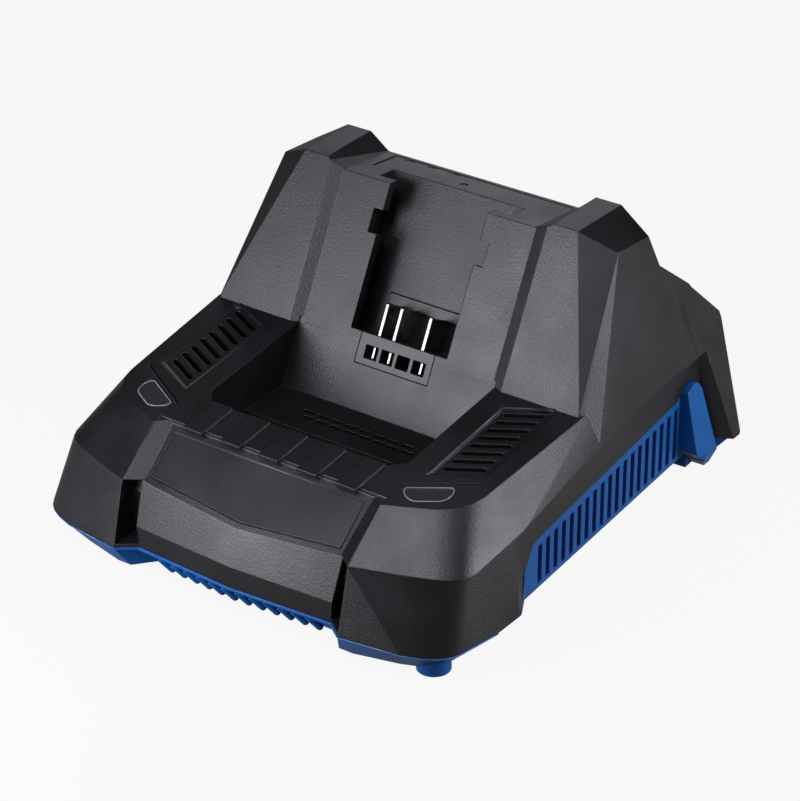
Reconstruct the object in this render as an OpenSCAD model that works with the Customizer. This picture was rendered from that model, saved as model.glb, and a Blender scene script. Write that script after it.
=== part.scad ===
// Rapid charger for slide-on power tool battery packs, modelled part by part.
// Millimetres, +Z up, front towards -Y, table plane at z = 0, centred on x = 0.
// A wedge-shaped dark upper shell sits on a coloured base tray. Two faceted horns flank
// a leaning battery wall with a T-shaped rail channel and its contact block. In front of
// the wall is a deep well between two vented decks. The electronics and the cooling fan
// stand on the tray inside the shell.

/* [Overall] */
// Width over the lower edge of the shell
body_w = 218.8; // [206:0.2:232]
// Depth from the front corners to the rear wall
body_d = 236.4; // [226:0.2:248]
// Height of the horns above the table
body_h = 135; // [128:0.5:142]
// Height of the joint line between shell and tray
part_z = 14; // [12:0.5:16]
// Wall thickness of both mouldings
wall_t = 2.8; // [2.4:0.1:3.2]

/* [Battery seat] */
// Clear width of the well between the decks
well_w = 102; // [96:0.5:106]
// Height of the well floor above the table
floor_z = 44; // [42:0.5:47]
// Height of the deck plane at mid depth
deck_mid_z = 69.5; // [68:0.5:72]
// Upward slope of the decks towards the rear, degrees
deck_slope = 5.4; // [4:0.1:6.5]
// Backward lean of the battery wall, degrees
wall_lean = 27.4; // [26:0.1:29]
// Opening width of the rail channel
rail_w = 50; // [46:0.5:54]
// Width of the undercut behind the rail lips
rail_under_w = 68; // [62:0.5:72]
// Depth of the rail channel below the wall
rail_depth = 14.7; // [13:0.1:16]
// Thickness of the rail lips
rail_lip = 4.5; // [3.6:0.1:5.5]

/* [Contacts] */
// Width of the contact block
block_w = 37.6; // [35:0.1:40]
// Spacing of the four contact columns
contact_pitch = 7.5; // [7:0.1:8]
// Thickness of the power blades
blade_t = 1.2; // [0.8:0.1:1.6]
// Thickness of the signal contacts
signal_t = 0.8; // [0.6:0.1:1.2]

/* [Vents] */
// Number of slots in each deck grille
deck_slots = 8; // [6:1:9]
// Spacing of the deck slots
deck_slot_pitch = 6.33; // [5.5:0.05:6.6]
// Width of one deck slot
deck_slot_w = 2.7; // [2:0.1:3.2]
// Number of slots in each side panel
side_slots = 19; // [15:1:19]
// Width of one side slot
side_slot_w = 3.2; // [2.4:0.1:3.8]

/* [Cooling fan] */
// Outside size of the square fan frame
fan_size = 60; // [50:1:62]
// Thickness of the fan frame
fan_t = 15; // [12:0.5:16]
// Radius of the fan shaft
fan_shaft_r = 1.5; // [1.2:0.05:1.8]
// Radial running clearance between the shaft and its bearing
fan_run = 0.05; // [0.02:0.01:0.08]
// Number of fan blades
fan_blades = 7; // [5:1:9]

/* [Base] */
// Height of the tray floor above the table
foot_h = 4; // [3:0.5:5]
// Radius of the rubber feet
foot_r = 5.6; // [4:0.2:6.4]
// Radius of the case screw shanks
screw_r = 1.5; // [1.2:0.1:1.8]

/* [Hidden] */
hw = body_w / 2;
fy = -body_d / 2;
ry = body_d / 2;
top_z = body_h;
tray_z = foot_h;
well_hw = well_w / 2;
// y where the battery wall plane crosses the joint line
wall_base_y = fy + 93.8;
// y where the outer edge of the decks meets the horns, and y of the rear edge of the horns
deck_by = wall_base_y + 28.2;
horn_by = wall_base_y + 96.5;
// front edge of the well and its cut corners
well_fy = fy + 53.3;
// back edge of the chin plate
chin_by = fy + 34.7;
wall_tan = tan(wall_lean);
deck_tan = tan(deck_slope);
seam = 0.25;
$fn = 24;

// Height of the deck plane at a given y.
function deck_z(y) = deck_mid_z + y * deck_tan;
// y of the battery wall plane at a given z.
function wall_y(z) = wall_base_y + (z - part_z) * wall_tan;
// A list of points together with its mirror image across x = 0.
function both(p) = concat(p, [for (q = p) [-q[0], q[1], q[2]]]);

// Bare points for a convex form.
module pts(p) {
  polyhedron(points = p, faces = [[for (i = [0:len(p) - 1]) i]]);
}

// Block that lies on the plane through a, b and c, on the side from which the three
// points run anticlockwise.
module above(a, b, c) {
  n = cross(b - a, c - a);
  translate(a)
    rotate(acos(n[2] / norm(n)), [-n[1], n[0], 0])
      translate([-200, -200, 0])
        cube([400, 400, 300]);
}

// Point on the leaning side face of the shell, set in by depth d.
function on_face(y, z, d) = [hw - 0.1975 * (z - part_z) - 0.028 * (y - deck_by) - d, y, z];

// A profile drawn in y and z, extruded across the width.
module across(w) {
  rotate([90, 0, 90])
    translate([0, 0, -w / 2])
      linear_extrude(w)
        children();
}

// A profile drawn in x and z, extruded from y0 to y1.
module lengthwise(y0, y1) {
  translate([0, y1, 0])
    rotate([90, 0, 0])
      linear_extrude(y1 - y0)
        children();
}

// Frame of the battery wall: x across, y into the wall, z up its slope.
module on_wall() {
  translate([0, wall_base_y, part_z])
    rotate([-wall_lean, 0, 0])
      children();
}

// Frame of the deck plane: z along its normal.
module on_deck() {
  translate([0, 0, deck_mid_z])
    rotate([deck_slope, 0, 0])
      children();
}

// Frame of a side panel: x outwards, y along the panel, z up.
panel_x = hw - 6.8;
panel_fy = fy + 66;
panel_toe = 2.58;
panel_len = body_d - 96.9;
block_y = panel_len - 5;
side_slot_pitch = (block_y - 17.5) / (side_slots - 1);
module on_side(s) {
  mirror([s < 0 ? 1 : 0, 0, 0])
    translate([panel_x, panel_fy, 0])
      rotate([0, 0, panel_toe])
        children();
}

// Front part of the shell: decks, sloped shoulders and the leaning lower faces.
module front_form(o) {
  u = o * 0.75;
  s = o * 2.1;
  hull()
    pts(both([
      [57 - u, fy + 29.4 + o, deck_z(fy + 29.4 + o) - o],
      [77.5 - u, fy + 37.6 + o, deck_z(fy + 37.6 + o) - o],
      [82.6 - u, fy + 40.6 + o, deck_z(fy + 40.6 + o) - o],
      [86.6 - u, fy + 44.4 + o, deck_z(fy + 44.4 + o) - o],
      [89.2 - u, fy + 49 + o, deck_z(fy + 49 + o) - o],
      [hw - 18.5 - u, fy + 55.4 + o, deck_z(fy + 55.4 + o) - o],
      [hw - 14.6 - u, deck_by, deck_z(deck_by) - o],
      [hw - 14.4 - u, deck_by + 8.2, deck_z(deck_by + 8.2) - o],
      [57 - u, fy + 7.4 + o, part_z + 29.5 - u],
      [78 - s, fy + 14.4 + o, part_z + 29.3 - u],
      [90.5 - s, fy + 19.4 + o, part_z + 29.1 - u],
      [95.6 - s, fy + 22.4 + o, part_z + 29 - u],
      [98.8 - s, fy + 25.6 + o, part_z + 28.9 - u],
      [100.6 - s, fy + 29.2 + o, part_z + 28.8 - u],
      [hw - 7.8 - s, fy + 33.4, part_z + 28.8 - u],
      [hw - 5.4 - s, fy + 65.6, part_z + 34.2 - u],
      [hw - 8.2 - s, deck_by + 4, part_z + 42.6 - u],
      [hw - 8.4 - s, deck_by + 8.2, part_z + 43 - u],
      [57.5 - o, fy + o, part_z - o * 5],
      [85.4 - o, fy + 3.7 + o, part_z - o * 5],
      [93.2 - s, fy + 6.5 + o, part_z - o * 5],
      [98 - s, fy + 9.2 + o, part_z - o * 5],
      [101.4 - s, fy + 12.2 + o, part_z - o * 5],
      [103.6 - s, fy + 15.4 + o, part_z - o * 5],
      [104.9 - s, fy + 18.8, part_z - o * 5],
      [hw - 0.6 - s, fy + 40, part_z - o * 5],
      [hw - s, fy + 62, part_z - o * 5],
      [hw - s, deck_by + 8.2, part_z - o * 5]]));
}

// Wall and horns, a block that leans back with the battery wall.
module horn_form() {
  hull()
    pts(both([
      [70, wall_base_y + 60.4, top_z],
      [85.9, wall_base_y + 66.7, top_z - 7.9],
      [70.8, wall_base_y + 93.2, top_z - 0.6],
      [86.2, wall_base_y + 90.7, top_z - 10],
      [93.2, wall_base_y + 27.8, part_z + 57.8],
      [100.9, wall_base_y + 31.8, part_z + 42.6],
      [hw, wall_base_y + 31.8, part_z],
      [93.2, wall_base_y + 18.9, part_z + 40],
      [93, wall_base_y + 18.9, part_z],
      [hw - 20.6, horn_by, part_z + 95.6],
      [hw, horn_by, part_z]]));
}

// Rear block behind the horns with its sloped shoulders.
module rear_form() {
  hull()
    pts(both([
      [hw - 21, wall_base_y + 90.4, part_z + 97],
      [hw - 20.6, horn_by, part_z + 95.6],
      [hw - 17.4, ry - 19, part_z + 75.4],
      [hw - 14.4, ry - 1.7, part_z + 56.5],
      [hw, wall_base_y + 84.4, part_z],
      [hw, ry - 4, part_z],
      [hw - 1.2, ry - 1.2, part_z],
      [hw - 4, ry, part_z]]));
}

// Chin between the two front corners: sloped top, pointed crease, lower face.
module chin_form() {
  hull()
    pts(both([
      [51.5, chin_by, part_z + 45.8],
      [51.5, fy + 12.9, part_z + 28.7],
      [0, fy + 9.4, part_z + 25.4],
      [50.4, fy + 6.6, part_z + 9.9],
      [49.4, fy + 6.9, part_z],
      [0, fy + 4, part_z + 9.9],
      [0, fy + 4.1, part_z],
      [51.5, chin_by, part_z]]));
}

// Sloped strip that closes the upper part of a channel beside the chin, and the low
// floor of the channel.
strip_p = [57.6, fy + 7.2, part_z + 29.8];
module channel_strip(s) {
  mirror([s < 0 ? 1 : 0, 0, 0]) {
    difference() {
      translate([50.6, fy + 7, part_z + 24])
        cube([7, 28, 23]);
      above(strip_p, [57.6, fy + 29.6, part_z + 46.4], [51.5, fy + 12.3, part_z + 29.2]);
      above(strip_p, [51.5, fy + 12.3, part_z + 29.2], [54, fy + 19, part_z + 25]);
    }
    translate([0, 0, part_z])
      linear_extrude(1.6)
        polygon([[57.7, fy + 0.4], [49.3, fy + 6.9], [49.3, fy + 16], [57.7, fy + 16]]);
  }
}

// Set-back core behind the chin that closes the channels beside it.
module chin_core(o) {
  across(2 * (57.6 - o))
    polygon([
      [well_fy, part_z - o * 4],
      [fy + 14 + o, part_z - o * 4],
      [fy + 14 + o, part_z + 22 - o],
      [fy + 20 + o, part_z + 33 - o],
      [chin_by + o * 0.5, part_z + 44.6 - o * 1.2],
      [chin_by + o * 0.5, deck_z(chin_by) - 0.6 - o],
      [well_fy, deck_z(well_fy) - 0.6 - o]]);
}

// Space above the shelf between the horns.
module shelf_cut() {
  hull()
    pts(both([
      [49, wall_base_y + 54.4, part_z + 117.7],
      [49, wall_base_y + 97.4, part_z + 112.2],
      [57.5, wall_base_y + 54.4, top_z],
      [57.5, wall_base_y + 97.4, top_z],
      [75, wall_base_y + 54.4, top_z + 14],
      [75, wall_base_y + 97.4, top_z + 14]]));
}

// Well between the decks, its rear side a hair in front of the battery wall plane.
well_top = deck_mid_z + 2.5;
module well_cut(o) {
  intersection() {
    across(2 * (well_hw + o))
      polygon([
        [well_fy - o, well_top],
        [well_fy - o, floor_z + 8 - o],
        [well_fy + 8 - o, floor_z - 6 - o],
        [well_fy + 27 + o, floor_z - 6 - o],
        [well_fy + 29 + o, floor_z - o],
        [wall_y(floor_z) - 0.05 + o, floor_z - o],
        [wall_y(well_top) - 0.05 + o, well_top]]);
    linear_extrude(200)
      polygon([
        [-well_hw - o, 60],
        [-well_hw - o, well_fy + 6 - o],
        [-well_hw + 6 - o, well_fy - o],
        [well_hw - 6 + o, well_fy - o],
        [well_hw + o, well_fy + 6 - o],
        [well_hw + o, 60]]);
  }
}

// Shallow step that sets the middle of the battery wall back from its sides.
module wall_step(o) {
  on_wall()
    translate([0, 0, 30])
      linear_extrude(130)
        polygon([
          [-55.5 - o, -2 + o],
          [-49.5 - o, o],
          [49.5 + o, o],
          [55.5 + o, -2 + o],
          [55.5 + o, -12],
          [-55.5 - o, -12]]);
}

// Heights along the wall slope: lower edge of the contact opening, lower end of the
// channel, side keys and the upper end.
block_s0 = 53.9;
chan_s0 = 67.4;
key_s0 = 109;
key_s1 = 119.6;

// T-shaped rail channel cut into the wall.
module rail_cut(o) {
  on_wall() {
    translate([-rail_w / 2 - o, -3, chan_s0 - o])
      cube([rail_w + 2 * o, rail_depth + 3 + o, 90]);
    translate([-rail_under_w / 2 - o, rail_lip - o, chan_s0 - o])
      cube([rail_under_w + 2 * o, rail_depth - rail_lip + 2 * o, 90]);
    for (s = [-1, 1])
      translate([s * (rail_w / 2 + 2) - 2.6, -3, key_s0])
        cube([5.2, rail_lip + 4, key_s1 - key_s0]);
  }
}

// Opening for the contact block below and behind the channel.
module block_cut() {
  on_wall() {
    translate([-block_w / 2 - seam, -3, block_s0 - seam])
      cube([block_w + 2 * seam, 30, chan_s0 - block_s0 + 1]);
    translate([-block_w / 2 - seam, rail_depth - 2, chan_s0 - 1])
      cube([block_w + 2 * seam, 8, 19.6]);
  }
}

// One deck grille: slanted slots in a shallow recess, a groove and the lens opening.
grille_y = fy + 66.6;
slot_len = 18;
slot_turn = 27;
module deck_cuts() {
  on_deck() {
    // shallow recess around the slots
    translate([0, 0, -0.9])
      linear_extrude(5)
        polygon([
          [61.5, grille_y - 11.5],
          [84, grille_y + 0],
          [84, grille_y + 52],
          [80, grille_y + 54],
          [61.5, grille_y + 45]]);
    // slots
    for (i = [0:deck_slots - 1])
      translate([64.6, grille_y - 3.2 + i * deck_slot_pitch, -12])
        rotate([0, 0, slot_turn])
          linear_extrude(20)
            round_slot(slot_len, deck_slot_w);
    // groove in front of the recess
    translate([57.3, grille_y - 22.4, -0.8])
      rotate([0, 0, 30.5])
        cube([35, 1.3, 5]);
  }
}

// Flat outline of a slot with round ends, starting at the origin.
module round_slot(l, w) {
  translate([w / 2, 0])
    circle(d = w, $fn = 14);
  translate([l - w / 2, 0])
    circle(d = w, $fn = 14);
  translate([w / 2, -w / 2])
    square([l - w, w]);
}

// D-shaped outline of a deck lens, grown by g.
module lens_outline(g) {
  translate([68.8, grille_y - 18.8])
    rotate([0, 0, 29.8])
      polygon([
        [-10.8 - g, g],
        [10.8 + g, g],
        [11.8 + g, -1.2],
        [9.6 + g * 0.6, -4.3 - g * 0.8],
        [6.6, -6 - g],
        [-6.6, -6 - g],
        [-9.6 - g * 0.6, -4.3 - g * 0.8],
        [-11.8 - g, -1.2]]);
}

// Staggered slots in the well floor.
module floor_cuts() {
  for (r = [0:1])
    for (i = [0:7])
      translate([-30.6 + i * 7.4 + r * 2.6, wall_y(floor_z) - 12.4 - r * 4.2, floor_z - 20])
        linear_extrude(30)
          round_slot(6.2, 2.2);
}

// Low pads on the ramp in front of the well.
module ramp_pads() {
  for (i = [-2:2])
    on_deck()
      translate([i * 19.5 - 5, chin_by - 3.2, -0.7])
        cube([10, well_fy - chin_by + 2.6, 1.5]);
}

// Point on the upright floor of the side recess.
function on_floor(y, z) = [panel_x + 0.3 - (y - panel_fy) * tan(panel_toe), y, z];

// Shallow recess of a side wall that frames the vented side panel, with bevelled edges.
module side_recess(s) {
  mirror([s < 0 ? 1 : 0, 0, 0])
    intersection() {
      above(on_floor(0, 20), on_floor(60, 20), on_floor(0, 60));
      // upper bevel
      above(
        on_floor(fy + 79.7, part_z + 29.8),
        on_floor(ry - 37.2, part_z + 38.6),
        on_face(wall_base_y + 48.4, part_z + 40.9, 0));
      // rear and front bevels
      above(
        on_floor(ry - 20.2, part_z + 30),
        on_face(ry - 10.3, part_z - 2.9, 0),
        on_face(ry - 18.4, part_z + 34.1, 0));
      above(
        [panel_x + 0.4, fy + 67.7, part_z],
        on_face(fy + 56.2, part_z + 30.8, 0),
        [hw, fy + 53.2, part_z]);
      translate([0, -150, -150])
        cube([200, 300, 150 + part_z + 46]);
    }
}

// Outline of the side opening in y and z, grown by g.
module panel_outline(g) {
  polygon([
    [fy + 59.1 - g, tray_z],
    [fy + 63.6 - g, part_z + 3.8],
    [fy + 71.2 - g, part_z + 18],
    [fy + 73.6 - g, part_z + 21 + g],
    [fy + 78, part_z + 22.2 + g],
    [ry - 39.9, part_z + 28.5 + g],
    [ry - 33.6, part_z + 32.7 + g],
    [ry - 28.6, part_z + 34 + g],
    [ry - 25.6 + g, part_z + 32.8 + g],
    [ry - 23.4 + g, part_z + 29.6],
    [ry - 17.8 + g, part_z - 2],
    [ry - 17.1 + g, tray_z]]);
}

// Hollow in the rear shoulder of each side: two facets and a wall in front of them.
notch_p = on_face(ry - 25.7, part_z + 69.1, 3.5);
notch_top = on_face(wall_base_y + 97.3, part_z + 95.1, 0);
notch_low = on_face(ry - 26.4, part_z + 52.5, 0);
module shoulder_notch(s) {
  mirror([s < 0 ? 1 : 0, 0, 0])
    intersection() {
      above(notch_top, notch_p, [hw - 21.3, ry - 13.5, part_z + 71.1]);
      above(notch_p, notch_low, on_face(ry - 2.5, part_z + 53.6, 0));
      above(notch_top, notch_low, notch_p);
    }
}

// Screw positions of the case, x and y.
case_posts = [
  [hw - 24.9, fy + 63],
  [24.9 - hw, fy + 63],
  [hw - 27.4, ry - 20.2],
  [27.4 - hw, ry - 20.2]];
post_top = 30;

// Height at which a boss of the shell ends inside the roof above it.
function boss_top(y) = y < 0 ? deck_z(y) - 1 : part_z + 66;

// Frame of the shelf between the horns: z along its normal.
module on_shelf() {
  translate([0, wall_base_y + 60.2, part_z + 117.1])
    rotate([-7.2, 0, 0])
      children();
}

// Pegs of the shell that carry the small lamp boards.
lamp_depth = 13;
lamp_pegs = [[-10, -9.6], [10, -9.6]];
module lamp_frame(s) {
  mirror([s < 0 ? 1 : 0, 0, 0])
    on_deck()
      translate([68.8, grille_y - 18.8, 0])
        rotate([0, 0, 29.8])
          children();
}

// Outside of the upper shell before it is hollowed.
module shell_outside() {
  difference() {
    front_form(0);
    translate([-57.6, fy - 1, -1])
      cube([115.2, chin_by - fy + 1, 90]);
  }
  chin_core(0);
  chin_form();
  for (s = [-1, 1])
    channel_strip(s);
  difference() {
    horn_form();
    shelf_cut();
    wall_step(0);
  }
  rear_form();
}

// Inside of the upper shell, before the battery seat walls are put back.
module shell_inside() {
  difference() {
    union() {
      difference() {
        front_form(wall_t);
        translate([-57.6 - wall_t, fy - 1, -1])
          cube([115.2 + 2 * wall_t, chin_by - fy + 1 + wall_t, 90]);
      }
      chin_core(wall_t);
      // hollow of the chin
      across(97)
        polygon([
          [chin_by + 20, 0],
          [fy + 6.6 + wall_t, 0],
          [fy + 6.6 + wall_t, part_z + 9],
          [fy + 12.9 + wall_t, part_z + 22],
          [chin_by + wall_t, part_z + 45.8 - 17.1 * 0.16 - 5.5],
          [chin_by + 20, part_z + 40]]);
      intersection() {
        across(2 * hw)
          polygon([
            [wall_base_y - 5.6, 0],
            [wall_base_y - 5.6, 30],
            [wall_base_y + 28.4, part_z + 52],
            [wall_base_y + 64.4, part_z + 113 - wall_t],
            [wall_base_y + 87.4, part_z + 113 - wall_t],
            [wall_base_y + 89.4, part_z + 92],
            [ry - 22.2, part_z + 71],
            [ry - wall_t - 1.4, part_z + 53],
            [ry - wall_t - 1.4, 0]]);
        lengthwise(wall_base_y - 5.6, ry)
          polygon([
            [-hw + 9, 0],
            [-hw + 9, part_z],
            [-hw + 29, part_z + 100],
            [-66, part_z + 114],
            [66, part_z + 114],
            [hw - 29, part_z + 100],
            [hw - 9, part_z],
            [hw - 9, 0]]);
      }
    }
    well_cut(wall_t);
    on_wall()
      translate([-hw, -40, 30])
        cube([body_w, 40 + wall_t, 120]);
    rail_cut(wall_t);
    across(101 + 2 * wall_t)
      polygon([
        [wall_base_y + 44.4, part_z + 118.6 - wall_t],
        [wall_base_y + 104.4, part_z + 111 - wall_t],
        [wall_base_y + 104.4, 200],
        [wall_base_y + 44.4, 200]]);
    for (s = [-1, 1])
      on_side(s)
        translate([0.3 - wall_t, -30, -5])
          cube([40, panel_len + 70, part_z + 65]);
  }
}

// Charcoal upper shell: decks, well, battery wall, horns and rear, one moulding.
module upper_shell() {
  color([0.16, 0.16, 0.17])
    difference() {
      union() {
        difference() {
          shell_outside();
          shell_inside();
        }
        ramp_pads();
        // screw bosses under the decks and the rear roof
        for (p = case_posts)
          translate([p[0], p[1], post_top])
            cylinder(r = 4.5, h = boss_top(p[1]) - post_top);
        // pegs of the lamp boards
        for (s = [-1, 1])
          lamp_frame(s)
            for (q = lamp_pegs)
              translate([q[0], q[1], -lamp_depth])
                cylinder(r = 2, h = lamp_depth - 1);
      }
      well_cut(0);
      rail_cut(0);
      block_cut();
      deck_cuts();
      mirror([1, 0, 0])
        deck_cuts();
      on_deck()
        translate([0, 0, -12])
          linear_extrude(20) {
            lens_outline(seam);
            mirror([1, 0, 0])
              lens_outline(seam);
          }
      floor_cuts();
      // shelf: recess line, three marks and a dot
      on_shelf() {
        translate([-44, 31.2, -0.7])
          cube([92, 1, 5]);
        translate([-44, 14, -0.7])
          cube([1, 18, 5]);
        for (x = [-37.4, -25.8, -13.8])
          translate([x, 29.6, -0.35])
              linear_extrude(3)
              round_slot(5, 2.4);
        translate([-1.6, 22.4, -0.6])
          cylinder(r = 1.8, h = 5, $fn = 20);
      }
      // seat of the chin plate
      plate_cut();
      for (s = [-1, 1]) {
        side_recess(s);
        mirror([s < 0 ? 1 : 0, 0, 0])
          translate([84, 0, 0])
            rotate([90, 0, 90])
              linear_extrude(40)
                panel_outline(seam);
        shoulder_notch(s);
      }
      // blind pilot holes for the case screws
      for (p = case_posts)
        translate([p[0], p[1], post_top - 1])
          cylinder(r = screw_r, h = 16);
      // rear wall: exhaust grille and inlet opening
      for (i = [0:6])
        translate([16, ry - 12, 30 + i * 6])
          cube([46, 20, 2.6]);
      translate([inlet_x - 14, ry - 12, inlet_z - 10])
        cube([28, 20, 20]);
      translate([-150, -150, -10])
        cube([300, 300, 10 + part_z]);
    }
}

// Centre of the mains inlet in the rear wall
inlet_x = -54;
inlet_z = 32;

// Recess of the chin plate, a slab below the sloped face with a pointed lower edge.
chin_pitch = atan((45.8 - 28.7) / 21.8);
module plate_shape(g, t) {
  translate([0, chin_by, part_z + 45.8])
    rotate([chin_pitch, 0, 0])
      translate([0, 0, -t])
        linear_extrude(t + (g > 0 ? 5 : 0))
          polygon([
            [-48.2 - g, -3.4 + g],
            [48.2 + g, -3.4 + g],
            [48.4 + g, -24.6 - g],
            [0, -29.4 - g],
            [-48.4 - g, -24.6 - g]]);
}
module plate_cut() {
  plate_shape(seam, 1.8);
}

// Blank plate set into the chin.
module chin_plate() {
  color([0.2, 0.2, 0.21])
    plate_shape(0, 1.8);
}

// Outline of the tray: joint line above, inset lower edge below, shrunk by o.
module tray_form(o) {
  hull() {
    pts(both([
      [57.5 - o, fy + o, part_z],
      [85.4 - o, fy + 3.7 + o, part_z],
      [93.2 - o, fy + 6.5 + o, part_z],
      [98 - o, fy + 9.2 + o, part_z],
      [101.4 - o, fy + 12.2 + o, part_z],
      [103.6 - o, fy + 15.4 + o, part_z],
      [104.9 - o, fy + 18.8, part_z],
      [hw - 0.6 - o, fy + 40, part_z],
      [hw - o, fy + 62, part_z],
      [hw - 2.6 - o, ry - 58.2, part_z],
      [hw - 2.6 - o, ry - 6 - o, part_z],
      [hw - 8 - o, ry - o, part_z],
      [60.8 - o, fy + 6 + o, tray_z],
      [80.4 - o, fy + 10.8 + o, tray_z],
      [88.4 - o, fy + 14 + o, tray_z],
      [93.6 - o, fy + 18.6 + o, tray_z],
      [96.4 - o, fy + 25 + o, tray_z],
      [98.4 - o, fy + 36, tray_z],
      [99 - o, ry - 30, tray_z],
      [98 - o, ry - 14 - o, tray_z],
      [92 - o, ry - 9 - o, tray_z]]));
  }
}

// Cut that sets the tray back under the chin below a thin lip, with slanted ends.
lip_t = 1.4;
module tray_chin_cut(o) {
  hull()
    pts(both([
      [57 + o, fy - 5, part_z - lip_t],
      [57 + o, fy + 1.2 + o, part_z - lip_t],
      [49 + o, fy + 7 + o, part_z - lip_t],
      [48.6 + o, fy + 12 + o, part_z - lip_t],
      [53.8 + o, fy - 5, tray_z - 0.5],
      [53.8 + o, fy + 6.1 + o, tray_z - 0.5],
      [46.3 + o, fy + 12.2 + o, tray_z - 0.5],
      [45.8 + o, fy + 15.3 + o, tray_z - 0.5]]));
}

// Space in front of the lip, bowed like the chin.
module lip_cut() {
  translate([0, 0, part_z - lip_t - 1])
    linear_extrude(10)
      polygon([
        [-57.4, fy - 5],
        [-57.4, fy + 0.4],
        [-49.4, fy + 6.3],
        [0, fy + 3.5],
        [49.4, fy + 6.3],
        [57.4, fy + 0.4],
        [57.4, fy - 5]]);
}

// Slanted rods that hang from the lip, their lower ends round and free.
rib_run = 6.9;
module chin_ribs() {
  for (i = [0:11])
    translate([-33.8 + i * 6.87, fy + 7.1 + abs(-33.8 + i * 6.87) * 0.06, part_z - 6.2]) {
      sphere(r = 1.6, $fn = 16);
      rotate([0, 45.9, 209])
        cylinder(r = 1.6, h = rib_run, $fn = 16);
    }
}

// Cut that sets the tray sides back to the panel plane, with a bevel at the bottom.
module tray_side_cut(s, o) {
  on_side(s)
    translate([0, 0, -5])
      linear_extrude(80)
        polygon([
          [-o, 2 + o],
          [12, -24.4],
          [40, -24.4],
          [40, block_y + 2 - o],
          [-o, block_y - o]]);
  on_side(s)
    lengthwise(-30, panel_len + 3 - o)
      polygon([[-o, part_z - 2], [-7 - o, tray_z - 1], [20, tray_z - 1], [20, part_z - 2]]);
}

// Lower bevels of the end block, to the front and to the side.
module block_bevels(s) {
  on_side(s)
    rotate([90, 0, 90])
      linear_extrude(30)
        polygon([[block_y, tray_z + 13], [block_y + 14, tray_z], [block_y + 14, 0], [block_y, 0]]);
  mirror([s < 0 ? 1 : 0, 0, 0])
    lengthwise(ry - 48.2, ry - 8.2)
      polygon([[hw - 2.6, part_z], [hw - 7.4, tray_z], [hw - 7.4, 0], [150, 0], [150, part_z]]);
}

// Slotted outer wall of a side panel with the solid end block and a baffle behind it.
module side_panel(s) {
  difference() {
    mirror([s < 0 ? 1 : 0, 0, 0])
      translate([90, 0, 0])
        rotate([90, 0, 90])
          linear_extrude(20)
            panel_outline(0);
    // flat inner side
    on_side(s)
      translate([-30 - wall_t, -20, 0])
        cube([30, panel_len + 60, 80]);
    tray_side_cut(s, 0);
    // outer face of the end block, a little below the leaning face of the shell
    mirror([s < 0 ? 1 : 0, 0, 0])
      translate([hw - 1, 0, part_z])
        rotate([0, 0, 1.6])
          rotate([0, -11.2, 0])
            translate([0, -150, -60])
              cube([60, 300, 160]);
    block_bevels(s);
    // slots, open at the lower edge
    on_side(s)
      for (i = [0:side_slots - 1])
        translate([-wall_t - 1, 12.2 + i * side_slot_pitch, part_z - 7])
          cube([10, side_slot_w, 25.4 + i * 0.36]);
  }
  // baffle behind the slots
  on_side(s)
    translate([-wall_t - 5, 6, tray_z + 2])
      cube([1.8, block_y, part_z + 15 - tray_z]);
}

// Posts and cradle of the tray.
board_z = 18;
board_y0 = wall_base_y + 30.4;
board_y1 = ry - 42.2;
board_posts = [
  [-66, board_y0 + 8],
  [66, board_y0 + 8],
  [-66, board_y1 - 8],
  [66, board_y1 - 8]];
fan_x = 39;
fan_y = ry - 36.2;
fan_z = 20 + fan_size / 2;

// Bosses of the feet, their lower end and the depth of the pocket in them.
foot_posts = [
  [25.4 - hw, fy + 23.4],
  [hw - 19, fy + 20.4],
  [33.4 - hw, ry - 30],
  [hw - 33.4, ry - 30]];
foot_step = 1;
foot_top = 2.6;

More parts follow.
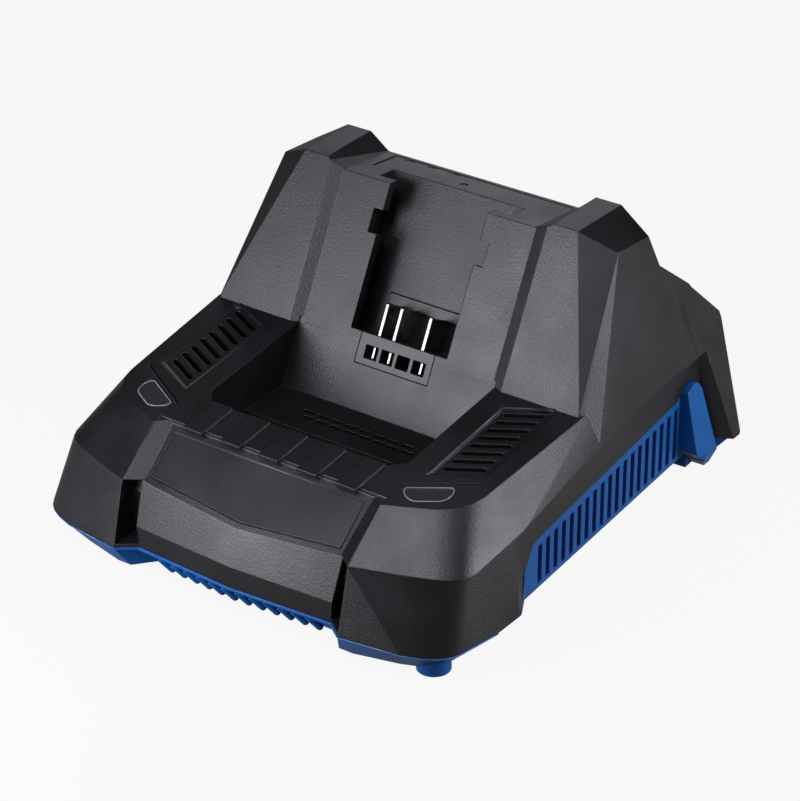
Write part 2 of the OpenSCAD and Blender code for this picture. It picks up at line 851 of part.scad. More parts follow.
// Coloured base tray: floor, rim, ribbed chin face, vented side panels and posts.
module base_tray() {
  color([0.1, 0.36, 0.68])
    difference() {
      union() {
        difference() {
          tray_form(0);
          translate([0, 0, wall_t])
            tray_inside();
          tray_chin_cut(0);
          lip_cut();
          for (s = [-1, 1]) {
            tray_side_cut(s, 0);
            block_bevels(s);
            // bevel behind the end block
            mirror([s < 0 ? 1 : 0, 0, 0])
              translate([0, 0, -1])
                linear_extrude(40)
                  polygon([
                    [panel_x - 5.6, ry - 28.2],
                    [panel_x - 5.6, ry - 16],
                    [hw + 1, ry - 8.6],
                    [150, ry - 8.6],
                    [150, ry - 28.2]]);
          }
        }
        for (s = [-1, 1])
          side_panel(s);
        chin_ribs();
        // bosses that carry the feet
        for (p = foot_posts)
          translate([p[0], p[1], foot_step])
            cylinder(r = foot_r + 1.6, h = tray_z + 5 - foot_step, $fn = 40);
        for (p = case_posts)
          translate([p[0], p[1], tray_z])
            cylinder(r = 5.5, h = post_top - tray_z);
        for (p = board_posts)
          translate([p[0], p[1], tray_z])
            cylinder(r = 4, h = board_z - tray_z);
        // cradle ribs of the fan with a lip at each end
        for (x = [-22, 0, 22])
          translate([fan_x + x - 1.2, fan_y - 2.3, tray_z]) {
            cube([2.4, fan_t + 4.6, 16]);
            cube([2.4, 2.2, 21]);
            translate([0, fan_t + 2.4, 0])
              cube([2.4, 2.2, 21]);
          }
      }
      // screw holes from below with room for the heads
      for (p = case_posts) {
        translate([p[0], p[1], tray_z - 1])
          cylinder(r = 4, h = 15);
        translate([p[0], p[1], tray_z])
          cylinder(r = screw_r + 0.3, h = 40);
      }
      for (p = board_posts)
        translate([p[0], p[1], board_z - 9])
          cylinder(r = 1.1, h = 20);
      // pockets of the feet
      for (p = foot_posts)
        translate([p[0], p[1], 0])
          cylinder(r = foot_r + 0.15, h = foot_top, $fn = 32);
      // intake slots in the floor
      for (r = [0:1])
        for (i = [0:9])
          translate([-45 + i * 9.4, -10 + r * 46, tray_z - 1])
            cube([3, 34, 6]);
    }
}

// Inside of the tray above its floor.
module tray_inside() {
  difference() {
    tray_form(wall_t);
    tray_chin_cut(wall_t);
    for (s = [-1, 1])
      tray_side_cut(s, wall_t);
  }
}

// Clear lens of a deck lamp with its flange below the deck.
module lamp_lens(s) {
  color([0.86, 0.88, 0.9])
    mirror([s < 0 ? 1 : 0, 0, 0])
      on_deck()
        difference() {
          union() {
            translate([0, 0, -4.4])
              linear_extrude(4.3)
                lens_outline(0);
            // flange under the deck
            translate([68.8, grille_y - 18.8, -4.4])
              rotate([0, 0, 29.8])
                translate([-12.9, -1.4, 0])
                  cube([25.8, 3.2, 1.4]);
          }
          // hollow below the clear face
          translate([68.8, grille_y - 18.8, -5])
            rotate([0, 0, 29.8])
              translate([-9, -4.2, 0])
                cube([18, 3, 3.2]);
        }
}

module led_lens_left() {
  lamp_lens(-1);
}

module led_lens_right() {
  lamp_lens(1);
}

// Small lamp board on its pegs, with the lamp on top.
module lamp_board(s) {
  color([0.1, 0.35, 0.2])
    lamp_frame(s) {
      translate([-13, -13, -lamp_depth - 1.6])
        cube([26, 13.5, 1.6]);
      translate([-2.5, -5.6, -lamp_depth])
        cube([5, 5, 1.8]);
    }
}

module led_board_left() {
  lamp_board(-1);
}

module led_board_right() {
  lamp_board(1);
}

// Columns that carry a contact, left to right.
contact_cols = [-1.5, -0.5, 1.5];
window_pitch = 8.2;

// Power blades standing in the rail channel.
module power_blades() {
  color([0.82, 0.81, 0.78])
    for (c = contact_cols)
      on_wall()
        translate([c * contact_pitch - blade_t / 2, 1.9, chan_s0 - 4])
          cube([blade_t, 16.2, 18.1]);
}

// Signal contacts inside the small windows.
module signal_contacts() {
  color([0.85, 0.8, 0.6])
    for (c = contact_cols)
      on_wall()
        translate([c * window_pitch + 0.4 - signal_t / 2, 2.2, block_s0 + 3.4])
          cube([signal_t, 24, 4.6]);
}

// Black contact block: windowed front, step for the blades and a rear plate with a bar.
module terminal_block() {
  color([0.09, 0.09, 0.1])
    difference() {
      on_wall() {
        // front block
        translate([-block_w / 2, 0, block_s0])
          cube([block_w, rail_depth + 7, chan_s0 - block_s0 - 0.15]);
        // rear plate and its bar
        translate([-block_w / 2, rail_depth + 3, chan_s0 - 3])
          cube([block_w, 4, 21.2]);
        translate([-block_w / 2, rail_depth - 0.1, chan_s0 + 13.7])
          cube([block_w, 5, 4.4]);
        // flange behind the channel floor
        translate([-block_w / 2 - 4, rail_depth + wall_t + 0.1, chan_s0 + 2])
          cube([block_w + 8, 2.4, 19]);
      }
      // windows of the signal contacts
      on_wall()
        for (i = [-1.5:1:1.5])
          translate([i * window_pitch - 2.9, -1, block_s0 + 2.7])
            cube([6.6, 10, 6]);
      power_blades();
      signal_contacts();
    }
}

// Main circuit board on the tray posts.
module main_board() {
  color([0.08, 0.32, 0.18])
    difference() {
      translate([-72, board_y0, board_z])
        cube([144, board_y1 - board_y0, 1.6]);
      for (p = board_posts)
        translate([p[0], p[1], board_z - 1])
          cylinder(r = 1.4, h = 4);
    }
}
comp_z = board_z + 1.6;

// Ferrite core of the transformer with two side windows.
module transformer_core() {
  color([0.2, 0.2, 0.22])
    difference() {
      translate([-50, board_y0 + 28, comp_z])
        cube([46, 22, 34]);
      for (x = [-42, -20])
        translate([x, board_y0 + 27, comp_z + 6])
          cube([8, 24, 22]);
    }
}

// Winding around the middle leg of the core.
module transformer_coil() {
  color([0.75, 0.55, 0.2])
    difference() {
      translate([-41.5, board_y0 + 21, comp_z + 6])
        cube([29, 36, 21.6]);
      translate([-34.1, board_y0 + 27.8, comp_z + 5])
        cube([14.2, 22.4, 24]);
    }
}

// Mains smoothing capacitors standing on the board.
module bulk_capacitors() {
  color([0.12, 0.16, 0.3])
    for (p = [[-60, board_y0 + 24], [-60, board_y0 + 46]])
      translate([p[0], p[1], comp_z])
        cylinder(r = 8.5, h = 38, $fn = 36);
}

// Finned aluminium heat sink standing on the board.
module heat_sink() {
  color([0.75, 0.76, 0.78])
    translate([8, board_y0 + 32, comp_z]) {
      cube([62, 4, 40]);
      for (i = [0:9])
        translate([i * 6.6 + 0.4, 4, 0])
          cube([1.8, 14, 40]);
    }
}

// Three power transistors clamped to the front of the heat sink.
module power_transistors() {
  color([0.1, 0.1, 0.1])
    for (i = [0:2])
      translate([14 + i * 18, board_y0 + 27.4, comp_z])
        cube([11, 4.6, 24]);
}

// Ring-shaped line choke lying on the board.
module line_choke() {
  color([0.6, 0.3, 0.12])
    translate([48, board_y0 + 12, comp_z])
      rotate_extrude($fn = 40)
        translate([4.6, 0])
          square([6.4, 11]);
}

// Square fan frame with the motor plate and its four struts at the rear.
module fan_frame() {
  color([0.07, 0.07, 0.08])
    translate([fan_x, fan_y, fan_z])
      rotate([-90, 0, 0])
        difference() {
          union() {
            difference() {
              translate([-fan_size / 2, -fan_size / 2, 0])
                cube([fan_size, fan_size, fan_t]);
              translate([0, 0, -1])
                cylinder(r = fan_size / 2 - 2, h = fan_t + 2, $fn = 60);
            }
            // motor plate, struts and bearing sleeve
            translate([0, 0, fan_t - 2.5])
              cylinder(r = 12, h = 2.5, $fn = 36);
            for (a = [45:90:315])
              rotate([0, 0, a])
                translate([10, -2, fan_t - 2.5])
                  cube([fan_size / 2 - 9, 4, 2.5]);
            translate([0, 0, fan_t - 8])
              cylinder(r = 3.4, h = 7, $fn = 28);
          }
          translate([0, 0, fan_t - 9])
            cylinder(r = fan_shaft_r + fan_run, h = 8, $fn = 28);
          // corner holes
          for (x = [-1, 1])
            for (y = [-1, 1])
              translate([x * (fan_size / 2 - 4), y * (fan_size / 2 - 4), -1])
                cylinder(r = 2, h = fan_t + 2, $fn = 20);
        }
}

// Fan rotor: cup hub on a shaft with pitched blades.
module fan_rotor() {
  color([0.1, 0.1, 0.11])
    translate([fan_x, fan_y, fan_z])
      rotate([-90, 0, 0]) {
        difference() {
          translate([0, 0, 0.8])
            cylinder(r = 11.5, h = fan_t - 4.2, $fn = 36);
          translate([0, 0, 2.4])
            cylinder(r = 10, h = fan_t, $fn = 36);
        }
        translate([0, 0, 1.5])
          cylinder(r = fan_shaft_r, h = fan_t - 3.2, $fn = 28);
        for (i = [0:fan_blades - 1])
          rotate([0, 0, i * 360 / fan_blades])
            translate([10.8, 0, 6])
              rotate([38, 0, 0])
                translate([0, -6, -0.6])
                  cube([15, 12, 1.2]);
      }
}

// Mains inlet in the rear wall: socket body, pocket and a flange inside the wall.
module ac_inlet() {
  color([0.06, 0.06, 0.07])
    difference() {
      translate([inlet_x, 0, inlet_z]) {
        translate([-13.8, ry - 26, -9.8])
          cube([27.6, 25.2, 19.6]);
        translate([-16.5, ry - wall_t - 4, -12.5])
          cube([33, 2.5, 25]);
      }
      translate([inlet_x - 11.6, ry - 18, inlet_z - 7.8])
        cube([23.2, 20, 15.6]);
      inlet_pins();
    }
}

// Three flat pins of the mains inlet.
module inlet_pins() {
  color([0.8, 0.78, 0.72])
    for (p = [[-7, -1.6], [0, 2.4], [7, -1.6]])
      translate([inlet_x + p[0] - 1, ry - 30, inlet_z + p[1] - 2])
        cube([2, 26, 4]);
}

// Case screws, driven from below into the shell bosses.
module case_screws() {
  color([0.45, 0.45, 0.47])
    for (p = case_posts)
      translate([p[0], p[1], 0]) {
        translate([0, 0, tray_z + 11])
          cylinder(r = 3.3, h = 3);
        translate([0, 0, tray_z + 14])
          cylinder(r = screw_r - 0.05, h = 22);
      }
}

// Board screws, heads on the board.
module board_screws() {
  color([0.6, 0.6, 0.62])
    for (p = board_posts)
      translate([p[0], p[1], 0]) {
        translate([0, 0, comp_z])
          cylinder(r = 2.6, h = 1.8);
        translate([0, 0, board_z - 7])
          cylinder(r = 1.05, h = 9);
      }
}

// Round rubber foot in the pocket of its boss.
module foot(p) {
  color([0.05, 0.05, 0.05])
    translate([p[0], p[1], 0]) {
      cylinder(r1 = foot_r - 0.6, r2 = foot_r, h = 0.6, $fn = 32);
      translate([0, 0, 0.6])
        cylinder(r = foot_r, h = foot_top - 0.6, $fn = 32);
    }
}

module foot_front_left() {
  foot(foot_posts[0]);
}

module foot_front_right() {
  foot(foot_posts[1]);
}

module foot_rear_left() {
  foot(foot_posts[2]);
}

module foot_rear_right() {
  foot(foot_posts[3]);
}

upper_shell();
base_tray();
chin_plate();
led_lens_left();
led_lens_right();
terminal_block();
power_blades();
signal_contacts();
main_board();
transformer_core();
transformer_coil();
bulk_capacitors();
heat_sink();
power_transistors();
line_choke();
led_board_left();
led_board_right();
fan_frame();
fan_rotor();
ac_inlet();
inlet_pins();
case_screws();
board_screws();
foot_front_left();
foot_front_right();
foot_rear_left();
foot_rear_right();
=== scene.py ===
# %% [markdown]
# # A rapid charger for slide-on battery packs
# The solids come from the CAD model and are already in place. This lesson gives them the
# look of the real thing: moulded ABS with a spark-eroded grain, plated blades, a smoky lamp
# window in each deck, and soft studio light on a pale floor.

import math

import bpy
import numpy as np
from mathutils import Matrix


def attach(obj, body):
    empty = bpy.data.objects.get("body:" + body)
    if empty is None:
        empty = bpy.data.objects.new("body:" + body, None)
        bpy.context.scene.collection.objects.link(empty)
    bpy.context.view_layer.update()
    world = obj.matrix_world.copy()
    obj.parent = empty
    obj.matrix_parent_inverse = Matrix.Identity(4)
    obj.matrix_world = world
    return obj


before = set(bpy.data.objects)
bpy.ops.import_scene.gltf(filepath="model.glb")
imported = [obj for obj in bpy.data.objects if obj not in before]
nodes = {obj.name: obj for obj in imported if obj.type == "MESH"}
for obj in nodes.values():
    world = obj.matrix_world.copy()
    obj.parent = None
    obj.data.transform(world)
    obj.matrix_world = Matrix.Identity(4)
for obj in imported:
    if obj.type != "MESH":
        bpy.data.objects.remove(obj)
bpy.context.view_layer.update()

# %% [markdown]
# ## Small helpers
# Colours are written as the eye reads them, in sRGB hex, and Cycles wants them linear.
# Sizes of patterns are written in millimetres, and a noise of scale 1 has a feature about
# one metre wide, so one function turns a size into a scale.

# %% Colour, scale and node helpers
MM = 0.001


def linear(hex_colour):
    """sRGB hex to linear RGBA: below 0.04045 divide by 12.92, above it a power of 2.4."""
    srgb = np.array([int(hex_colour[i : i + 2], 16) for i in (1, 3, 5)]) / 255
    rgb = np.where(srgb <= 0.04045, srgb / 12.92, ((srgb + 0.055) / 1.055) ** 2.4)
    return (*rgb.tolist(), 1.0)


def scale_for(size_mm):
    """Scale at which one feature of a pattern on Object coordinates is size_mm wide."""
    return 1.0 / (size_mm * MM)


def add_node(tree, kind, settings=None, links=None):
    """Adds a node, sets its properties and fills its sockets with values or with links."""
    node = tree.nodes.new(kind)
    for name, value in (settings or {}).items():
        setattr(node, name, value)
    for name, value in (links or {}).items():
        if isinstance(value, bpy.types.NodeSocket):
            tree.links.new(value, node.inputs[name])
        else:
            node.inputs[name].default_value = value
    return node


def new_material(name):
    """A material with an empty tree, its output, and the Object coordinates to work from."""
    material = bpy.data.materials.new(name)
    material.use_nodes = True
    tree = material.node_tree
    tree.nodes.clear()
    place = add_node(tree, "ShaderNodeTexCoord").outputs["Object"]
    output = add_node(tree, "ShaderNodeOutputMaterial")
    return material, tree, place, output


print("1 mm grain has scale", scale_for(1))

# %% [markdown]
# ## Moulded plastic
# The shell looks like ABS, moulded in a tool whose faces were spark-eroded. That leaves a
# fine even grain, which breaks up reflections and makes the plastic look satin. Such grain
# is too fine to show at this distance, so it is drawn about 0.9 mm wide. A wide, faint cloud
# in colour and gloss stands for flow marks and handling. A Bevel node rounds the edges in
# the shading alone, so the meshes of the CAD model stay as they are and still catch a
# fine light along every edge. A real Bevel modifier would have to cut into those meshes.


# %% Textured plastic
CLOUD_MM = 26
ABS_IOR = 1.53
GLOSS_DRIFT = 0.05
GRAIN_SHARE = 0.35
NOISE_LOW, NOISE_HIGH = 0.3, 0.7
EDGE_SAMPLES = 6


def noise_at(tree, vector, size_mm, detail):
    """A noise texture whose features are size_mm wide."""
    return add_node(
        tree,
        "ShaderNodeTexNoise",
        links={"Vector": vector, "Scale": scale_for(size_mm), "Detail": detail},
    )


def gloss_from(tree, noise, low, high):
    """Roughness that follows a noise from low to high, over the range a noise really fills."""
    return add_node(
        tree,
        "ShaderNodeMapRange",
        links={
            "Value": noise.outputs["Fac"],
            "From Min": NOISE_LOW,
            "From Max": NOISE_HIGH,
            "To Min": low,
            "To Max": high,
        },
    )


def two_tones(tree, factor, dark, light, margin):
    """A colour ramp from dark to light that leaves out a margin at both ends of the factor."""
    tone = add_node(tree, "ShaderNodeValToRGB", links={"Fac": factor})
    for stop, place, colour in zip(tone.color_ramp.elements, (margin, 1 - margin), (dark, light)):
        stop.position = place
        stop.color = linear(colour)
    return tone


def moulded(name, dark, light, rough, grain_mm, grain_depth, edge_mm=0.2, level=0.5):
    """Plastic whose colour drifts between two tones, with a fine bump and uneven gloss."""
    material, tree, place, output = new_material(name)
    cloud = noise_at(tree, place, CLOUD_MM, 4.0)
    grain = noise_at(tree, place, grain_mm, 2.0)
    both = add_node(
        tree,
        "ShaderNodeMix",
        links={"Factor": GRAIN_SHARE, "A": cloud.outputs["Fac"], "B": grain.outputs["Fac"]},
    )
    tone = two_tones(tree, both.outputs["Result"], dark, light, 0.35)
    gloss = gloss_from(tree, cloud, rough - GLOSS_DRIFT, rough + GLOSS_DRIFT)
    edge = add_node(tree, "ShaderNodeBevel", {"samples": EDGE_SAMPLES}, {"Radius": edge_mm * MM})
    bump = add_node(
        tree,
        "ShaderNodeBump",
        links={
            "Strength": 1.0,
            "Distance": grain_depth * MM,
            "Height": grain.outputs["Fac"],
            "Normal": edge.outputs["Normal"],
        },
    )
    shader = add_node(
        tree,
        "ShaderNodeBsdfPrincipled",
        links={
            "Base Color": tone.outputs["Color"],
            "Roughness": gloss.outputs["Result"],
            "IOR": ABS_IOR,
            "Specular IOR Level": level,
            "Normal": bump.outputs["Normal"],
        },
    )
    tree.links.new(shader.outputs["BSDF"], output.inputs["Surface"])
    return material


shell_abs = moulded("charcoal_abs_spark_eroded", "#0b0a0d", "#121115", 0.4, 0.9, 0.09, edge_mm=0.7)
plate_abs = moulded("grey_abs_fine_grain", "#100f13", "#17161a", 0.4, 0.8, 0.06, edge_mm=0.4)
tray_abs = moulded("blue_abs_satin_moulded", "#045092", "#06599e", 0.38, 0.5, 0.015, edge_mm=0.9, level=0.3)
block_nylon = moulded("black_glass_filled_nylon", "#0c0c0e", "#161618", 0.38, 0.4, 0.03)
fan_nylon = moulded("black_polyester_fan_moulding", "#0d0d0f", "#151517", 0.33, 0.5, 0.01)
print("plastics:", [m.name for m in (shell_abs, plate_abs, tray_abs, block_nylon, fan_nylon)])


# %% [markdown]
# ## Metal, rubber, board and the rest
# The blades are stamped and plated, the heat sink is extruded, the coil is taped. Each of
# these starts from the same few nodes: a noise that is stretched along the way the metal
# was drawn, a tone that follows it, and a gloss that follows it as well. One function with
# a few sizes is enough, because most of these pieces are hidden in the case.


# %% Metal and other finishes
FINISH_SPREAD = 0.06
BOARD_IOR = 1.5


def finished(name, dark, light, rough, size_mm, metallic=0.0, stretch=(1, 1, 1), depth=0.01, coat=0.0):
    """A surface of two close tones with a noise stretched along one way, for metals and boards."""
    material, tree, place, output = new_material(name)
    turned = add_node(tree, "ShaderNodeMapping", links={"Vector": place, "Scale": stretch})
    noise = noise_at(tree, turned.outputs["Vector"], size_mm, 3.0)
    tone = two_tones(tree, noise.outputs["Fac"], dark, light, 0.3)
    gloss = gloss_from(tree, noise, rough - FINISH_SPREAD, rough + FINISH_SPREAD)
    bump = add_node(
        tree,
        "ShaderNodeBump",
        links={"Strength": 1.0, "Distance": depth * MM, "Height": noise.outputs["Fac"]},
    )
    sockets = {
        "Base Color": tone.outputs["Color"],
        "Roughness": gloss.outputs["Result"],
        "Metallic": metallic,
        "Coat Weight": coat,
        "Normal": bump.outputs["Normal"],
    }
    if metallic < 0.5:
        sockets["IOR"] = BOARD_IOR
    shader = add_node(tree, "ShaderNodeBsdfPrincipled", links=sockets)
    tree.links.new(shader.outputs["BSDF"], output.inputs["Surface"])
    return material


DRAWN, EXTRUDED, WOUND = (1, 1, 0.1), (1, 1, 0.05), (1, 1, 4)
plated_brass = finished("nickel_plated_brass_stamped", "#8f8d8a", "#a9a7a3", 0.24, 1.0, 1.0, DRAWN)
laminate = finished("green_solder_mask_laminate", "#0b3b20", "#125232", 0.3, 1.2, coat=0.4)
ferrite = finished("sintered_ferrite", "#26262a", "#36363a", 0.6, 0.8, depth=0.03)
tape = finished("yellow_polyester_tape", "#a87f18", "#c79a2a", 0.35, 3.0, stretch=WOUND)
sleeve = finished("navy_shrink_sleeve", "#101a3a", "#1a2750", 0.28, 4.0)
aluminium = finished("extruded_aluminium", "#a9abae", "#c8cacd", 0.38, 1.0, 1.0, EXTRUDED)
epoxy = finished("black_moulding_epoxy", "#0f0f10", "#1b1b1c", 0.5, 0.6, depth=0.02)
enamel = finished("enamelled_copper_wire", "#7a3414", "#a0512a", 0.25, 1.5, coat=0.6)
zinc = finished("zinc_plated_steel", "#8d8f92", "#b0b2b5", 0.32, 1.0, 1.0)
rubber = finished("matt_black_rubber", "#0c0c0c", "#161616", 0.75, 0.8, depth=0.03)
metals = (plated_brass, aluminium, zinc)
others = (laminate, ferrite, tape, sleeve, epoxy, enamel, rubber)
print("metals:", [m.name for m in metals], "others:", [m.name for m in others])


# %% [markdown]
# ## Lamp window
# The window over each lamp looks smoky, with a bright thin rim. It is drawn as tinted polycarbonate, a little
# frosted so that the lamp would spread. A partly transmissive shader with some roughness gives the smoky
# look. The rim is the same polycarbonate with a much paler tint, less transmission and a little less
# roughness; its paler tint is a painted highlight for the bright line.


# %% Smoky lamp window and its rim with a painted highlight
POLYCARBONATE_IOR = 1.58
FROST_MM, FROST_DEPTH = 0.6, 0.004


def clear_window(name, tint, through, low_rough, high_rough):
    """Partly transmissive plastic with a fine frosting; through is the share let through."""
    material, tree, place, output = new_material(name)
    frost = noise_at(tree, place, FROST_MM, 2.0)
    gloss = gloss_from(tree, frost, low_rough, high_rough)
    bump = add_node(
        tree,
        "ShaderNodeBump",
        links={"Strength": 1.0, "Distance": FROST_DEPTH * MM, "Height": frost.outputs["Fac"]},
    )
    shader = add_node(
        tree,
        "ShaderNodeBsdfPrincipled",
        links={
            "Base Color": linear(tint),
            "Roughness": gloss.outputs["Result"],
            "IOR": POLYCARBONATE_IOR,
            "Transmission Weight": through,
            "Normal": bump.outputs["Normal"],
        },
    )
    tree.links.new(shader.outputs["BSDF"], output.inputs["Surface"])
    return material


lens_smoky = clear_window("smoky_polycarbonate", "#3c3b41", 0.5, 0.12, 0.26)
# The rim's pale tint is a painted highlight.
rim_painted_highlight = clear_window("polycarbonate_rim_painted_highlight", "#88878d", 0.15, 0.12, 0.22)
print("lamp window:", lens_smoky.name, rim_painted_highlight.name)

# %% [markdown]
# ## Paler raised lines
# In the photograph the thin raised lines look paler than the faces beside them. That paler tone is a painted
# highlight, standing in for the light that a small rounding catches. That may be wear, or only light on a
# small rounding: one picture can't tell. The same plastic with a paler tone, a lower roughness and less grain
# gives that look.

# %% Plastic of the thin raised lines
# The paler tones of these two plastics are painted highlight.
painted_highlight_abs = moulded("painted_highlight_abs", "#38373d", "#45444a", 0.34, 0.9, 0.04)
painted_highlight_blue = moulded("painted_highlight_tray_abs", "#3a78c2", "#4a86cc", 0.34, 0.9, 0.03)
print("painted highlight plastics:", painted_highlight_abs.name, painted_highlight_blue.name)

# %% [markdown]
# ## Which piece wears what
# Every node of the CAD model is a piece that comes apart on a bench, so each has one finish.
# A plain table of names is the easiest to read and to change. The pieces keep their shape.

# %% Give each node its finish
finish_of = {
    "upper_shell": shell_abs,
    "base_tray": tray_abs,
    "chin_plate": plate_abs,
    "led_lens_left": lens_smoky,
    "led_lens_right": lens_smoky,
    "terminal_block": block_nylon,
    "power_blades": plated_brass,
    "signal_contacts": plated_brass,
    "main_board": laminate,
    "transformer_core": ferrite,
    "transformer_coil": tape,
    "bulk_capacitors": sleeve,
    "heat_sink": aluminium,
    "power_transistors": epoxy,
    "line_choke": enamel,
    "led_board_left": laminate,
    "led_board_right": laminate,
    "fan_frame": fan_nylon,
    "fan_rotor": fan_nylon,
    "ac_inlet": block_nylon,
    "inlet_pins": plated_brass,
    "case_screws": zinc,
    "board_screws": zinc,
    "foot_front_left": rubber,
    "foot_front_right": rubber,
    "foot_rear_left": rubber,
    "foot_rear_right": rubber,
}
for name, node in nodes.items():
    node.data.materials.clear()
    node.data.materials.append(finish_of[name])
print("finished nodes:", len(finish_of))

# %% [markdown]
# ## Soft turns between facets
# The corners of the shell are drawn as a row of narrow facets. On the real moulding they
# flow into one another, so faces that meet at a small angle are shaded as one surface,
# and every sharper edge stays crisp. The CAD meshes are loose triangles: a Weld joins
# them first, then a small node tree marks the smooth edges. The shell's Weld reaches a
# little further, so that it also closes a step of 0.05 mm that runs across the wall.


# %% Smooth shading below an angle
def soft_turns(angle_deg):
    """A geometry node tree: an edge is smooth where its two faces meet below the angle."""
    group = bpy.data.node_groups.new("soft_turns", "GeometryNodeTree")
    group.interface.new_socket("Geometry", in_out="INPUT", socket_type="NodeSocketGeometry")
    group.interface.new_socket("Geometry", in_out="OUTPUT", socket_type="NodeSocketGeometry")
    start = add_node(group, "NodeGroupInput").outputs[0]
    angle = add_node(group, "GeometryNodeInputMeshEdgeAngle").outputs["Unsigned Angle"]
    limit = math.radians(angle_deg)
    gentle = add_node(group, "ShaderNodeMath", {"operation": "LESS_THAN"}, {0: angle, 1: limit})
    whole = add_node(
        group,
        "GeometryNodeSetShadeSmooth",
        {"domain": "FACE"},
        {"Geometry": start, "Shade Smooth": True},
    )
    edges = add_node(
        group,
        "GeometryNodeSetShadeSmooth",
        {"domain": "EDGE"},
        {"Geometry": whole.outputs[0], "Shade Smooth": gentle.outputs[0]},
    )
    add_node(group, "NodeGroupOutput", links={0: edges.outputs[0]})
    return group


SOFT_BELOW_DEG = 13
SHELL_WELD, PLAIN_WELD = 0.055 * MM, 0.002 * MM
soft = soft_turns(SOFT_BELOW_DEG)
for name, node in nodes.items():
    weld = node.modifiers.new("join", "WELD")
    weld.merge_threshold = SHELL_WELD if name == "upper_shell" else PLAIN_WELD
    turn = node.modifiers.new("soft_turns", "NODES")
    turn.node_group = soft
print("soft turns on", len(nodes), "nodes")

# %% [markdown]
# ## Thin trim
# Some details of the real charger stand out by less than a millimetre: the sloped border
# and the rounded bar of each grille, the rim and the flush face of each lamp window, the
# raised line above the chin plate and the bright upper edge of the tray. Each is a surface
# on a grid of points: one direction runs along the detail, the other around its profile.

# %% Frames of the deck and of the chin, and the mesh builder
DECK_Z, DECK_SLOPE = 69.5, math.radians(5.4)
CHIN_Y, CHIN_Z, CHIN_PITCH = -83.5, 59.8, math.atan(17.1 / 21.8)


def on_deck(points):
    """Deck x, y and height in mm to object space in metres: turned about x by the deck slope."""
    x, y, z = np.moveaxis(np.asarray(points, float), -1, 0)
    s, c = math.sin(DECK_SLOPE), math.cos(DECK_SLOPE)
    return np.stack([x, y * c - z * s, DECK_Z + y * s + z * c], -1) * MM


def on_chin(points):
    """The same for the sloped chin: turned about x by the chin's pitch, at its rear edge."""
    x, y, z = np.moveaxis(np.asarray(points, float), -1, 0)
    s, c = math.sin(CHIN_PITCH), math.cos(CHIN_PITCH)
    return np.stack([x, CHIN_Y + y * c - z * s, CHIN_Z + y * s + z * c], -1) * MM


def grid_piece(name, points, material, closed, smooth):
    """
    A mesh from points[along, around]: quads between neighbours, always closed around.

    An open piece gets a flat face at both ends. The signed volume is the sum over all
    triangles of a . (b x c); where it is negative the faces point inwards and are flipped.
    """
    along, around = points.shape[:2]
    i = np.arange(along if closed else along - 1)[:, None]
    j = np.arange(around)[None, :]
    k, m = (i + 1) % along, (j + 1) % around
    quads = np.stack([i * around + j, k * around + j, k * around + m, i * around + m], -1)
    quads = quads.reshape(-1, 4).tolist()
    if not closed:
        quads += [list(range(around)), [(along - 1) * around + n for n in reversed(range(around))]]
    mesh = bpy.data.meshes.new(name)
    mesh.from_pydata(points.reshape(-1, 3).tolist(), [], quads)
    mesh.polygons.foreach_set("use_smooth", np.full(len(mesh.polygons), smooth))
    mesh.materials.append(material)
    piece = bpy.data.objects.new(name, mesh)
    bpy.context.scene.collection.objects.link(piece)
    mesh.calc_loop_triangles()
    corners = np.array([[mesh.vertices[v].co for v in tri.vertices] for tri in mesh.loop_triangles])
    volume = np.einsum("ij,ij->i", corners[:, 0], np.cross(corners[:, 1], corners[:, 2])).sum()
    if volume < 0:
        mesh.flip_normals()
    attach(piece, "charger")


print("chin pitch in degrees:", round(math.degrees(CHIN_PITCH), 1))

# %% [markdown]
# ## Grille borders
# The grille of each deck sits in a shallow recess. Its border slopes down at the sides, and
# that slope is what catches the light. The solid has a square step there, so a thin wedge
# is laid into it. The recess outline is moved inwards by 2 mm along the bisector of each
# corner, and the profile is a triangle between the outline at deck height, the outline at
# the floor and the inner line on the floor.


# %% Sloped borders of the grilles
def inset(outline, distance):
    """Moves each corner inwards: the two edge normals n, m give the step (n + m) / (1 + n.m)."""
    edge = np.roll(outline, -1, 0) - outline
    edge /= np.linalg.norm(edge, axis=1)[:, None]
    normal = np.stack([-edge[:, 1], edge[:, 0]], 1)
    before = np.roll(normal, 1, 0)
    step = (normal + before) / (1 + (normal * before).sum(1))[:, None]
    return outline + distance * step


SIDES = ((-1, "left"), (1, "right"))
BORDER_WIDTH = 2.0
BORDER_TOP, BORDER_FOOT, BORDER_INNER = -0.03, -0.95, -0.88
recess = np.array([[61.5, -63.1], [84.0, -51.6], [84.0, 0.4], [80.0, 2.4], [61.5, -6.6]])
inner = inset(recess, BORDER_WIDTH)
levels = ((recess, BORDER_TOP), (recess, BORDER_FOOT), (inner, BORDER_INNER))
for side, name in SIDES:
    profile = [np.column_stack([line * [side, 1], np.full(len(line), z)]) for line, z in levels]
    border = on_deck(np.stack(profile, 1))
    grid_piece("grille_border_" + name, border, shell_abs, True, False)
print("grille borders: 2")

# %% [markdown]
# ## Rounded bars, and a tube along a path
# A low rounded bar follows the inner and the rear side of each grille. It is a small circle
# carried along a path, sunk so far that only its back stands out of the deck. The same
# tube serves for the rims of the lamps and the thin lines further down.


